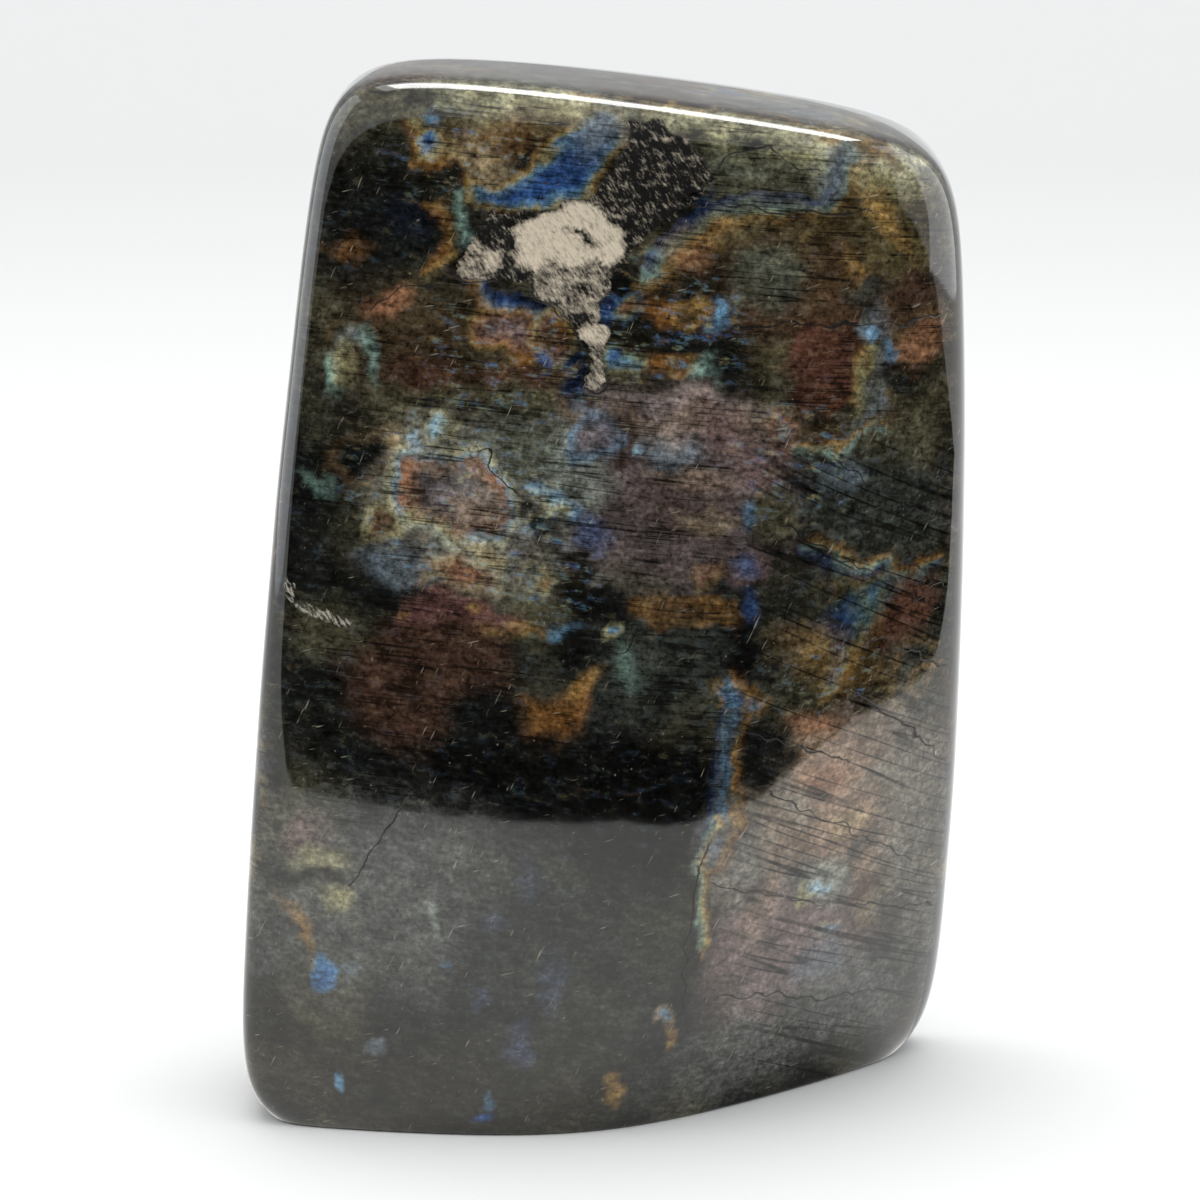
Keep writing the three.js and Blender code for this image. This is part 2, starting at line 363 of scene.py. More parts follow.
    "maroon right": spot(44.6, 78.6, 4.6, 5, "maroon", 0.95, 1.8, -35),
    "rust bar": (Oval(12.3, 82.3, 5.8, 1.9, -4), fringed(("amber", "gold", "amber"), "umber", 1, 0.5)),
    "black knot": spot(-1, 82.8, 5.6, 3.2, "black", 0.9, 1, -38),
    "black tail": spot(-4.3, 76.6, 3.6, 3, "night", 0.85, 1.2),
    "triangle": (Oval(1, 78.2, 1.9, 1.2, 25), fringed(("straw",), "sky", 1, 0.4)),
    "sea below it": spot(3.6, 73.6, 1.4, 2.6, "sea", 0.35, 0.8, 20),
    "black column": spot(20.2, 77, 2.4, 4.4, "black", 0.9, 1),
    "blue of the column": spot(21.4, 83, 1.1, 2, "lapis", 0.9, 0.6),
    "gold mottle": spot(32.6, 73.4, 7.6, 3.4, "gold", 0.4, 2, -30),
    "lath band": (Path(((-9, 94.6), (-3.5, 89), (2.4, 83))),
                  ((-1.6, "night", 0), (-1, "night", 0.95), (1, "night", 0.95), (1.6, "night", 0))),
    "lath one": spot(-6.4, 92.6, 2.3, 0.9, "grey", 0.95, 0.3, -42),
    "lath two": spot(-0.4, 87.2, 1.9, 0.9, "grey", 0.8, 0.4, 20),

    "dark right of the seam": spot(24, 58.6, 4, 5, "night", 0.95, 1.2),
    "gold right of the seam": spot(31, 63.6, 3.6, 2, "rust", 0.6, 1, -20),
    "head of the seam": (Oval(19.4, 68.9, 4.2, 1.5, -8), fringed(("gold", "sky"), "royal", 1, 0.5)),
    "seam": (Path(((17.2, 69.5), (16.2, 62), (16, 55), (15.2, 49), (14.4, 44))),
             ((-0.4, "lapis", 0), (0.2, "lapis", 0.9), (1, "steel", 0.75), (2.4, "sky", 0.6),
              (3.4, "steel", 0.6),
              (4.2, "gold", 0.7), (5, "amber", 0.7), (6, "umber", 0))),
    "foot of the seam": (Path(((16.3, 49.5), (13.9, 42), (12.9, 36), (13, 29.6))),
                         ((-0.4, "sea", 0), (0, "sea", 0.9), (0.9, "straw", 1), (1.8, "gold", 0.9),
                          (2.6, "grey", 0))),
    "sky flake": (Oval(8.4, 18.6, 1.5, 1.2), fringed(("sand",), "sky", 0.8, 0.4)),
    "gold flake": spot(9.8, 15.4, 1.1, 2.2, "gold", 0.7, 0.6, 8),
    "tan flake": spot(1.6, 6.6, 1.5, 2.4, "gold", 0.6, 0.6, 8),
    "grey in the salmon": spot(28, 50.2, 1.8, 4, "silver", 0.5, 1, 15),
    "grey in the salmon two": spot(41, 53, 3.6, 1.8, "silver", 0.4, 1.2, 20),
    "orange in the salmon": spot(36, 46.2, 2.4, 1.6, "sand", 0.7, 1),
    "orange in the salmon two": spot(32.6, 54.4, 3.4, 2, "rust", 0.6, 1.2, -15),
    "stain": spot(36, 41.6, 4.4, 1.6, "ash", 0.75, 1, 12),
    "rose streak": spot(24.6, 38, 0.9, 8, "salmon", 0.6, 0.8, -14),
    "silver cluster": spot(32.4, 36.4, 4, 4.4, "silver", 0.7, 1.2, 10),
    "straw in the cluster": spot(30.6, 34.2, 1.3, 2, "straw", 0.8, 0.6),
    "pale blue in the cluster": spot(32.5, 35, 1.5, 1, "pale blue", 0.9, 0.5),
    "chip": (Oval(34, 27.6, 1.8, 1, 4), fringed(("straw",), "sky", 0.9, 0.3)),
    "steel under the chip": spot(33.4, 23, 4.4, 3, "steel", 0.7, 1.4),
    "mauve streak": spot(39.4, 34, 3.4, 1.3, "plum", 0.7, 0.8, 8),
    "orange dot": spot(39.8, 30.2, 1.1, 0.5, "gold", 0.9, 0.3, 15),
    "rose low": spot(23, 17.4, 3.4, 2.4, "rose", 0.7, 1),

    "pink lower left": spot(-44, 47.4, 3.4, 3, "mauve", 0.6, 1.4),
    "gold lower left": spot(-41.6, 43.2, 4, 1.6, "straw", 0.5, 1),
    "dark smudge": spot(-42.5, 40.4, 4.6, 1, "loam", 0.9, 0.6),
    "straw lower left": spot(-39.6, 36.6, 3, 2.2, "straw", 0.55, 1.1, -15),
    "tan streak": spot(-45.4, 32.4, 0.9, 5, "gold", 0.7, 0.6, 18),
    "white flakes": spot(-25.5, 35.6, 0.8, 2, "silver", 0.7, 0.4),
    "coin": spot(-42, 25.6, 2, 2.4, "sky", 1, 0.4),
    "blue of the coin": spot(-42, 25.4, 1.6, 2, "royal", 0.6, 0.6),
    "faint blue one": spot(-38.4, 25, 1.6, 0.9, "steel", 0.6, 0.7),
    "faint blue two": spot(-11, 40.4, 0.7, 3, "indigo", 0.39, 0.5),
    "faint blue three": spot(-15.4, 34.4, 1.4, 1.8, "indigo", 0.39, 0.7),
    "faint blue four": spot(-8.4, 24.4, 1.4, 5, "indigo", 0.33, 0.8),
    "faint blue five": spot(-12.6, 15.4, 1.6, 3.4, "indigo", 0.49, 0.8),
    "faint blue six": spot(-17.6, 22.4, 1.4, 1.1, "indigo", 0.39, 0.5),
    "faint blue seven": spot(-23, 29, 0.8, 0.8, "sky", 0.5, 0.4),
    "blue fleck one": spot(-34.6, 14, 1.3, 1.4, "steel", 0.9, 0.5),
    "blue fleck two": spot(-39.6, 7.2, 0.8, 2, "sky", 0.85, 0.4, -8),
    "blue fleck three": spot(-16.2, 6.5, 0.7, 1.2, "sky", 0.7, 0.4),
    "blue fleck four": spot(-17.6, 3.4, 1.4, 0.8, "royal", 0.8, 0.4, 20),
}

# Faces that the front view doesn't show carry marks drawn at random from these films
DRAWN_SEED = 4
DRAWN_FILMS = (
    soft("night", 0.9, 2), soft("umber", 0.9, 2), soft("brown", 0.8, 2), soft("slate", 0.9, 2),
    soft("taupe", 0.9, 2), soft("moss", 0.8, 2), soft("maroon", 0.8, 1.5), soft("steel", 0.8, 1.5),
    fringed(BLUE_FILM, "royal"), fringed(GOLD_FILM, "straw", 0.7), fringed(PALE_FILM, "lilac", 0.8),
    fringed(("brown", "gold", "brown"), "night"))

# Edges of marks wander: height and length of each ripple, and how far on its seeds are
WANDER = ((0.6, 11, 0), (0.35, 4.5, 20), (0.2, 2.2, 40))
LOOSE_HEIGHT = 2.2  # on the faces with drawn marks, which wander more
LOOSE_LENGTH = 10

# How strongly the stone is mottled and how many bright flecks it has: little where the polish is clear
CALM = {
    "lower left": Oval(-20, 22, 40, 30),
    "lower right": Oval(33, 38, 20, 26),
}
LIVELY = {
    "under the pocket": Oval(-12, 118, 14, 9),
    "right of the pocket": Oval(9, 124, 12, 10),
    "round the ring": Oval(-22, 99, 16, 14),
    "below the ring": Oval(-10, 90, 10, 10),
    "above the slate": Oval(28, 104, 10, 8),
    "right of the middle": Oval(34, 70, 8, 6),
    "round the web": Oval(-18, 148, 12, 7),
}

# The matte pocket of pale feldspar: the outline of its whole ragged area and its pale parts
POCKET = Outline((
    (-17, 139.5), (-11.5, 139.5), (-7, 140.5), (-2, 142.5), (2, 146.5), (4, 153), (8, 153.5),
    (13.5, 148.5), (16, 144.5), (10.5, 140), (6.5, 136.5), (3.5, 133), (1, 129.5), (0, 127.5),
    (-1, 124), (0, 122), (0.5, 119), (0, 115.5), (-1.5, 114.5), (-2.5, 116), (-2.5, 120),
    (-4, 122.5), (-7, 126), (-11.5, 129.5), (-16, 131), (-20, 129.5), (-22, 132.5), (-20, 134.5),
    (-17.5, 136.5)))
POCKET_DEPTH = 0.35
CHARCOAL_WHITE = 0.22  # of the speckled charcoal around the pale parts, from 0 to 1
POCKET_PALE = {
    "hatched": (Oval(-4, 129.2, 7, 4, -20), 0.5),
    "left lobe": (Oval(-19, 132.6, 2.6, 2.6), 0.5),
    "spot": (Oval(-16, 133, 1.1, 1.1), 0.95),
    "neck": (Oval(-2, 122, 1.6, 2), 0.85),
    "drip": (Oval(-1, 117.4, 1.4, 2.8), 0.5),
    "field": (Outline(((-12.8, 136.5), (-11.5, 138.3), (-8, 139.6), (-4, 141), (-1, 140.8), (0.8, 138.4),
                       (2.6, 136.2), (3.2, 134.2), (1.6, 132), (-1, 133), (-4, 132.2), (-7.5, 132.8),
                       (-10, 131.3), (-12.4, 132))), 1.0),
    "dark bar": (Oval(-3.2, 136.4, 2.4, 0.5, -28), 0.1),
}

# Cracks that can be told apart, as paths on the front face
CRACK_REACH = 1.6  # how far a crack's own noise can carry it from its path
CRACKS = {
    "long": ((19, 123.5), (27.5, 124), (35, 123.5), (45.5, 123), (49, 124)),
    "zigzag": ((-33.5, 125.5), (-31, 127.5), (-28.5, 129), (-24.5, 129.2), (-22, 130.5)),
    "under the arc": ((13.5, 141), (22, 140.2), (28, 139.5), (38, 139.5)),
    "hook": ((16, 146.5), (19.5, 149), (23.5, 149), (27, 146), (30, 145.5)),
    "pocket's lower edge": ((-22.5, 131.5), (-20, 129), (-16.5, 130.5), (-11.5, 129), (-7.2, 125.6),
                            (-4.2, 122.2), (-2.9, 119.8), (-2.9, 116), (-1.6, 114), (0.4, 115.2)),
    "slanting one": ((33.5, 103.5), (40.5, 99), (50, 92)),
    "slanting two": ((33, 96), (40.5, 90), (50, 82.5)),
    "slanting three": ((26.5, 94), (36, 88), (47, 80.5)),
    "slanting four": ((28, 83), (39.5, 76), (51, 68.5)),
    "slanting five": ((24.5, 53.5), (34.5, 46.5), (47, 37)),
    "slanting six": ((18, 64.5), (26, 61), (36.5, 56.5)),
    "slanting seven": ((38, 66), (45.5, 60.5), (52, 52.5)),
    "level one": ((16, 39.5), (23.5, 37), (29.5, 34), (51.5, 27.5)),
    "level two": ((18, 20.5), (25, 19), (31.5, 16.5), (41.5, 15)),
    "left of the seam": ((15.5, 46), (13.2, 40), (12.5, 32.5), (12, 27), (12, 20)),
    "by the ring": ((-17.5, 105), (-15, 102.5), (-12.5, 99.5)),
    "lower left": ((-29, 53), (-32.5, 47.5), (-37.5, 39.5)),
    "triangle": ((-0.5, 75), (2.5, 76.5), (4.5, 79)),
}
BRUISE = ((-47, 86.5), (-46, 84), (-45, 82), (-41.5, 80), (-37, 78.5))
BRUISE_HALF_WIDTH = 0.75


def smooth_max(softness, *values):
    """The largest value, eased over the softness: its exponentials' sum, as a logarithm."""
    stack = np.stack(values)
    largest = stack.max(axis=0)
    return largest + softness * np.log(np.exp((stack - largest) / softness).sum(axis=0))


def smooth_step(low, high, value):
    """0 below low and 1 above high, with the cubic 3t^2 - 2t^3 between."""
    share = np.clip((value - low) / (high - low), 0, 1)
    return share * share * (3 - 2 * share)


def outside_face(points, face):
    """How far points lie outside one domed face: along its normal, and down the dome's curve."""
    turn, lean = math.radians(face.turn), math.radians(face.lean)
    normal = np.array((math.sin(turn) * math.cos(lean), -math.cos(turn) * math.cos(lean), math.sin(lean)))
    offset = points - (0, 0, HEART_HEIGHT)
    along = offset @ normal
    across_squared = (offset * offset).sum(axis=-1) - along * along
    return along - face.out + across_squared / (2 * face.crown)


def outside_stone(points):
    """How far points lie outside the whole stone: the smooth maximum over its faces."""
    past = {name: outside_face(points, face) for name, face in FACES.items()}
    outline = smooth_max(OUTLINE_SOFTNESS, past["left"], past["right"], past["top"], past["underside"])
    front = smooth_max(BEND_SOFTNESS, past["front"], past["lower right front"])
    back = smooth_max(BEND_SOFTNESS, past["back"], past["left back"])
    return smooth_max(EDGE_SOFTNESS, outline, front, back)


def stone_normals(points):
    """The way the skin looks: the slope of the distance outside the stone, from small steps each way."""
    step = 0.01
    slope = np.stack([outside_stone(points + way) - outside_stone(points - way)
                      for way in np.eye(3) * step], axis=-1)
    return slope / np.linalg.norm(slope, axis=-1, keepdims=True)


def eased_shares(count):
    """Shares from 0 up to but not including 1, closer together at both ends, where the edges are."""
    even = np.arange(count) / count
    bunched = (1 - np.cos(np.pi * even)) / 2
    return even + (bunched - even) * BUNCHING


def cage_plan():
    """Points round the cage, from the left front corner towards the right: each side cut in steps."""
    corners = np.array(((-1, -1), (1, -1), (1, 1), (-1, 1))) * (CAGE_HALF_WIDTH, CAGE_HALF_DEPTH)
    steps = (STEPS_FRONT, STEPS_RIGHT, STEPS_BACK, STEPS_LEFT)
    sides = [start + (end - start) * eased_shares(count)[:, None]
             for start, end, count in zip(corners, np.roll(corners, -1, axis=0), steps)]
    return np.concatenate(sides)


def stone_skin():
    """Rows of points on the skin: each lies where the way from the spine to a cage point leaves the stone.

    The way is level up the walls and fans out of the spine's end above it; halving finds the place.
    """
    plan = cage_plan()
    heights = BASE_EASE + eased_shares(STEPS_UP) * (CAGE_HEIGHT - BASE_EASE)
    spreads = np.concatenate((np.ones(STEPS_UP), 1 - eased_shares(STEPS_OVER_TOP)))
    heights = np.concatenate((heights, np.full(STEPS_OVER_TOP, CAGE_HEIGHT)))
    goal = np.empty((len(heights), len(plan), 3))
    goal[..., :2] = plan * spreads[:, None, None]
    goal[..., 2] = heights[:, None]
    start = np.zeros_like(goal)
    start[..., 2] = np.minimum(goal[..., 2], SPINE_TOP)
    way = goal - start
    way /= np.linalg.norm(way, axis=-1, keepdims=True)
    inside = np.zeros(goal.shape[:2])
    outside = np.full(goal.shape[:2], REACH)
    for _ in range(HALVINGS):
        middle = (inside + outside) / 2
        within = outside_stone(start + way * middle[..., None]) < 0
        inside = np.where(within, middle, inside)
        outside = np.where(within, outside, middle)
    return start + way * inside[..., None]


def ripples(points, length, seed):
    """A smooth random swell: the sum of plane waves of about one length in random ways."""
    waves = 14
    draw = np.random.default_rng(seed)
    ways = draw.normal(size=(waves, 3))
    ways /= np.linalg.norm(ways, axis=1, keepdims=True)
    lengths = length * draw.uniform(0.7, 1.6, waves)
    phases = draw.uniform(0, 2 * np.pi, waves)
    swell = np.zeros(points.shape[:-1])
    for way, one_length, phase in zip(ways, lengths, phases):
        swell += np.cos(points @ way * (2 * np.pi / one_length) + phase)
    return swell * math.sqrt(2 / waves)


def inside_oval(across, up, oval):
    """How far places lie inside an oval, in millimetres: its lesser half size, times 1 - radius."""
    tilt = math.radians(oval.tilt)
    right, rise = across - oval.across, up - oval.up
    along = right * math.cos(tilt) + rise * math.sin(tilt)
    aside = rise * math.cos(tilt) - right * math.sin(tilt)
    radius = np.sqrt((along / oval.wide) ** 2 + (aside / oval.high) ** 2)
    return (1 - radius) * min(oval.wide, oval.high)


def beside_path(across, up, path):
    """Distance from the nearest straight piece of a path, positive on the path's left."""
    nearest = np.full(across.shape, np.inf)
    beside = np.zeros(across.shape)
    for (ax, ay), (bx, by) in zip(path, path[1:]):
        run, rise = bx - ax, by - ay
        share = np.clip(((across - ax) * run + (up - ay) * rise) / (run * run + rise * rise), 0, 1)
        gap = np.hypot(across - ax - share * run, up - ay - share * rise)
        left = np.sign(run * (up - ay) - rise * (across - ax))
        beside = np.where(gap < nearest, left * gap, beside)
        nearest = np.minimum(gap, nearest)
    return beside


def inside_outline(across, up, outline):
    """Distance to a closed outline, positive inside: the sign counts the sides crossed to the right."""
    closed = (*outline, outline[0])
    crossings = np.zeros(across.shape, dtype=int)
    for (ax, ay), (bx, by) in zip(closed, closed[1:]):
        spans = (ay > up) != (by > up)
        rise = by - ay if by != ay else 1e-9
        crossings += spans & (across < ax + (up - ay) / rise * (bx - ax))
    return np.abs(beside_path(across, up, closed)) * np.where(crossings % 2, 1, -1)


def depth_in(shape, across, up):
    """How far places lie inside a mark's shape, in the shape's own sense."""
    if isinstance(shape, Oval):
        return inside_oval(across, up, shape)
    if isinstance(shape, Path):
        return beside_path(across, up, shape.points)
    return inside_outline(across, up, shape.points)


def paint(colours, across, up, weight, marks):
    """Lays marks on a face, later over earlier: each film's colour and cover follow from the depth.

    Films of many colours come and go along their edges.
    """
    seen = weight > 0
    across, up, weight, under = across[seen], up[seen], weight[seen], colours[seen]
    fitful = np.clip(0.85 + 0.35 * ripples(np.column_stack((across, up, up)), 9, seed=60), 0.6, 1)
    for shape, film in marks:
        depth = depth_in(shape, across, up)
        depths, names, covers = zip(*film)
        cover = np.interp(depth, depths, covers) * weight
        if len(film) > 2:
            cover *= fitful
        tints = np.array([linear(COLOURS[name])[:3] for name in names])
        tint = np.stack([np.interp(depth, depths, channel) for channel in tints.T], axis=-1)
        under += (tint - under) * cover[:, None]
    colours[seen] = under


def drawn_marks(count, half_width, low, high, draw):
    """Marks at random places of a face, with random sizes, tilts and films."""
    return [(Oval(draw.uniform(-half_width, half_width), draw.uniform(low, high),
                  draw.uniform(2.5, 12), draw.uniform(1.5, 7), draw.uniform(-60, 30)),
             DRAWN_FILMS[draw.integers(len(DRAWN_FILMS))])
            for _ in range(count)]


def most_within(across, up, ovals, ease):
    """1 inside any of the ovals and 0 outside them all, eased over some millimetres."""
    return np.max([smooth_step(-ease, ease, inside_oval(across, up, oval)) for oval in ovals], axis=0)


def stone_colours(points, normals):
    """The painted colour at each point, linear: plain stone in three tones, then every face's marks."""
    wandering = points + np.stack([
        sum(height * ripples(points, length, seed + later) for height, length, later in WANDER)
        for seed in (1, 2, 3)], axis=-1)
    across, _, up = wandering.T
    loose = wandering + LOOSE_HEIGHT * np.stack(
        [ripples(points, LOOSE_LENGTH, seed) for seed in (11, 12, 13)], axis=-1)
    tone = ripples(points, 16, seed=5)[:, None]
    loam, olive, night = (np.array(linear(COLOURS[name])[:3]) for name in ("loam", "olive", "night"))
    colours = loam + (olive - loam) * np.clip(tone, 0, 1) + (night - loam) * np.clip(-tone, 0, 1)
    draw = np.random.default_rng(DRAWN_SEED)
    back = drawn_marks(80, 52, 4, 152, draw)
    left = drawn_marks(30, 28, 4, 152, draw)
    right = drawn_marks(30, 28, 4, 152, draw)
    top = [(Oval(0, 0, 70, 40), soft("ash", 0.9, 1)), *drawn_marks(40, 50, -26, 26, draw)]
    paint(colours, loose[:, 0], loose[:, 2], smooth_step(0.3, 0.7, normals[:, 1]), back)
    paint(colours, loose[:, 1], loose[:, 2], smooth_step(0.3, 0.8, -normals[:, 0]), left)
    paint(colours, loose[:, 1], loose[:, 2], smooth_step(0.3, 0.8, normals[:, 0]), right)
    paint(colours, loose[:, 0], loose[:, 1], smooth_step(0.3, 0.8, normals[:, 2]), top)
    paint(colours, across, up, smooth_step(0.2, 0.55, -normals[:, 1]), FRONT_MARKS.values())
    return colours


def stone_markings(points, normals):
    """Values at each point that the material reads: the pocket, its white, cracks, bruise and grain."""
    on_front = smooth_step(0.2, 0.55, -normals[:, 1])
    wander = 0.35
    across = points[:, 0] + wander * ripples(points, 3.5, seed=7)
    up = points[:, 2] + wander * ripples(points, 3.5, seed=8)
    pocket = np.where(on_front > 0.5, depth_in(POCKET, across, up), -9.0)
    white = np.full(len(points), CHARCOAL_WHITE)
    for shape, pale in POCKET_PALE.values():
        white += (pale - white) * smooth_step(-0.5, 0.5, depth_in(shape, across, up))
    crack_side = np.full(len(points), 9.0)
    for path in CRACKS.values():
        beside = beside_path(across, up, path)
        crack_side = np.where(np.abs(beside) < np.abs(crack_side), beside, crack_side)
    bruise = np.exp(-((beside_path(across, up, BRUISE) / BRUISE_HALF_WIDTH) ** 2))
    slant = smooth_step(14, 26, points[:, 0]) * smooth_step(112, 100, points[:, 2])
    return {
        "pocket": pocket,
        "pocket_white": white,
        "crack_side": np.clip(crack_side, -2, 2),
        "crack_near": np.exp(-((crack_side / CRACK_REACH) ** 2)) * on_front,
        "bruise": bruise * on_front,
        "slant": slant * on_front,
        "calm": most_within(across, up, CALM.values(), 4) * on_front,
        "lively": 0.15 + 0.85 * most_within(across, up, LIVELY.values(), 3) * on_front,
    }


def closed_mesh(name, rows, low_pole, high_pole):
    """A mesh from rows of points round an axis, closed at both ends by a fan onto a pole."""
    row_count, around = rows.shape[:2]
    points = np.concatenate((rows.reshape(-1, 3), low_pole[None], high_pole[None]))
    column = np.arange(around)
    following = np.roll(column, -1)
    foot = (np.arange(row_count - 1) * around)[:, None]
    quads = np.stack((foot + column, foot + following, foot + around + following, foot + around + column),
                     axis=-1).reshape(-1, 4)
    top = (row_count - 1) * around
    low_fan = np.stack((following, column, np.full(around, row_count * around)), axis=-1)
    high_fan = np.stack((top + column, top + following, np.full(around, row_count * around + 1)), axis=-1)
    mesh = bpy.data.meshes.new(name)
    faces = quads.tolist() + low_fan.tolist() + high_fan.tolist()
    mesh.from_pydata((points * METRES_PER_MM).tolist(), [], faces)
    return mesh


def make_stone():
    """The polished stone: its skin, eased onto the base, with the pocket sunk and the faces faintly wavy."""
    skin = stone_skin()
    middle = (skin.reshape(-1, 3).min(axis=0) + skin.reshape(-1, 3).max(axis=0)) / 2
    low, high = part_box(STONE_NODE)
    cad_middle = (np.array(low) + np.array(high)) / 2 / METRES_PER_MM
    normals = stone_normals(skin)
    shift = np.array((cad_middle[0] - middle[0], cad_middle[1] - middle[1], 0))
    flat_points = skin.reshape(-1, 3) + shift
    markings = stone_markings(flat_points, normals.reshape(-1, 3))
    colours = np.clip(stone_colours(flat_points, normals.reshape(-1, 3)), 0, 1)

    sunk = POCKET_DEPTH * smooth_step(0, 0.9, markings["pocket"])
    sunk *= smooth_step(CHARCOAL_WHITE, 0.5, markings["pocket_white"])
    off_edges = smooth_step(2, 8, flat_points[:, 2])
    wave = WAVE_HEIGHT * ripples(flat_points, WAVE_LENGTH, seed=9) * off_edges
    lift = (wave - sunk).reshape(skin.shape[:2])
    wall = flat_points.reshape(skin.shape) + normals * lift[..., None]

    foot = wall[0] * (1, 1, 0)
    inward = normals[0] * (1, 1, 0)
    inward /= np.linalg.norm(inward, axis=-1, keepdims=True)
    foot -= inward * BASE_EASE
    shares = (np.arange(1, STEPS_UNDER + 1) / STEPS_UNDER)[:, None, None]
    rows = np.concatenate((foot * shares, wall))
    summit = wall[-1].mean(axis=0)
    mesh = closed_mesh("polished_stone", rows, np.zeros(3), summit)

    under = np.zeros(len(mesh.polygons), dtype=bool)
    around = skin.shape[1]
    under[:around * (STEPS_UNDER - 1)] = True
    under[-2 * around:-around] = True
    mesh.polygons.foreach_set("use_smooth", ~under)
    # Rows under the base repeat the lowest row's values, and the two poles take a neighbour's
    order = np.concatenate((np.tile(np.arange(around), STEPS_UNDER), np.arange(len(flat_points)),
                            (0, len(flat_points) - 1)))
    for name, values in markings.items():
        attribute = mesh.attributes.new(name, "FLOAT", "POINT")
        attribute.data.foreach_set("value", values[order].astype(np.float32))
    opaque = np.column_stack((colours[order], np.ones(len(order)))).astype(np.float32)
    mesh.attributes.new("body", "FLOAT_COLOR", "POINT").data.foreach_set("color", opaque.ravel())
    stone = bpy.data.objects.new("polished_stone", mesh)
    bpy.context.collection.objects.link(stone)
    return stone


def linear(colour):
    """An sRGB hex colour as linear red, green, blue and full alpha."""
    parts = [int(colour[i:i + 2], 16) / 255 for i in (1, 3, 5)]
    return (*(c / 12.92 if c <= 0.04045 else ((c + 0.055) / 1.055) ** 2.4 for c in parts), 1.0)


def add(tree, kind, inputs=(), out=0, **settings):
    """Adds a node with its settings, sets or links its inputs, by name or in order, and gives an output."""
    node = tree.nodes.new(kind)
    for name, value in settings.items():
        setattr(node, name, value)
    for socket, value in inputs.items() if isinstance(inputs, dict) else enumerate(inputs):
        if isinstance(value, bpy.types.NodeSocket):
            tree.links.new(value, node.inputs[socket])
        else:
            node.inputs[socket].default_value = value
    return node.outputs[out] if node.outputs else None


def new_material(name):
    """An empty material and its node tree."""
    material = bpy.data.materials.new(name)
    material.use_nodes = True
    material.node_tree.nodes.clear()
    return material, material.node_tree


class Grain(NamedTuple):
    """A texture of the stone: tilt in degrees, size along and across it in millimetres, and its detail."""

    tilt: float
    along: float
    across: float
    detail: float
    roughness: float


GRAINS = {
    "clouds": Grain(0, 6, 6, 5, 0.62),
    "mottle": Grain(8, 2.2, 1.1, 4, 0.65),
    "flecks": Grain(0, 0.7, 0.7, 3, 0.6),
    "hues": Grain(0, 3, 2.2, 3, 0.6),
    "level cleavage": Grain(5, 40, 1.2, 2, 0.5),
    "slanting cleavage": Grain(29, 60, 2.2, 1, 0.4),
    "upright scratches": Grain(-64, 3.5, 0.35, 2, 0.5),
    "level scratches": Grain(-14, 3.5, 0.35, 2, 0.5),
    "hatch": Grain(55, 1.3, 0.4, 5, 0.8),
}
# Colours of what is cut into the polish or left out of it
LINE_BLACK = "#0a0a08"
SCRATCH_PALE = "#b5ac98"
CHARCOAL = "#12110f"
CREAM = "#cdc0aa"
BRUISE_PALE = "#a09b8e"
FELDSPAR_IOR = 1.56
# Colours that single flecks flash in, as they come in a film of growing thickness
FLECK_COLOURS = ("amber", "gold", "straw", "sea", "sky", "royal", "lilac", "rust")


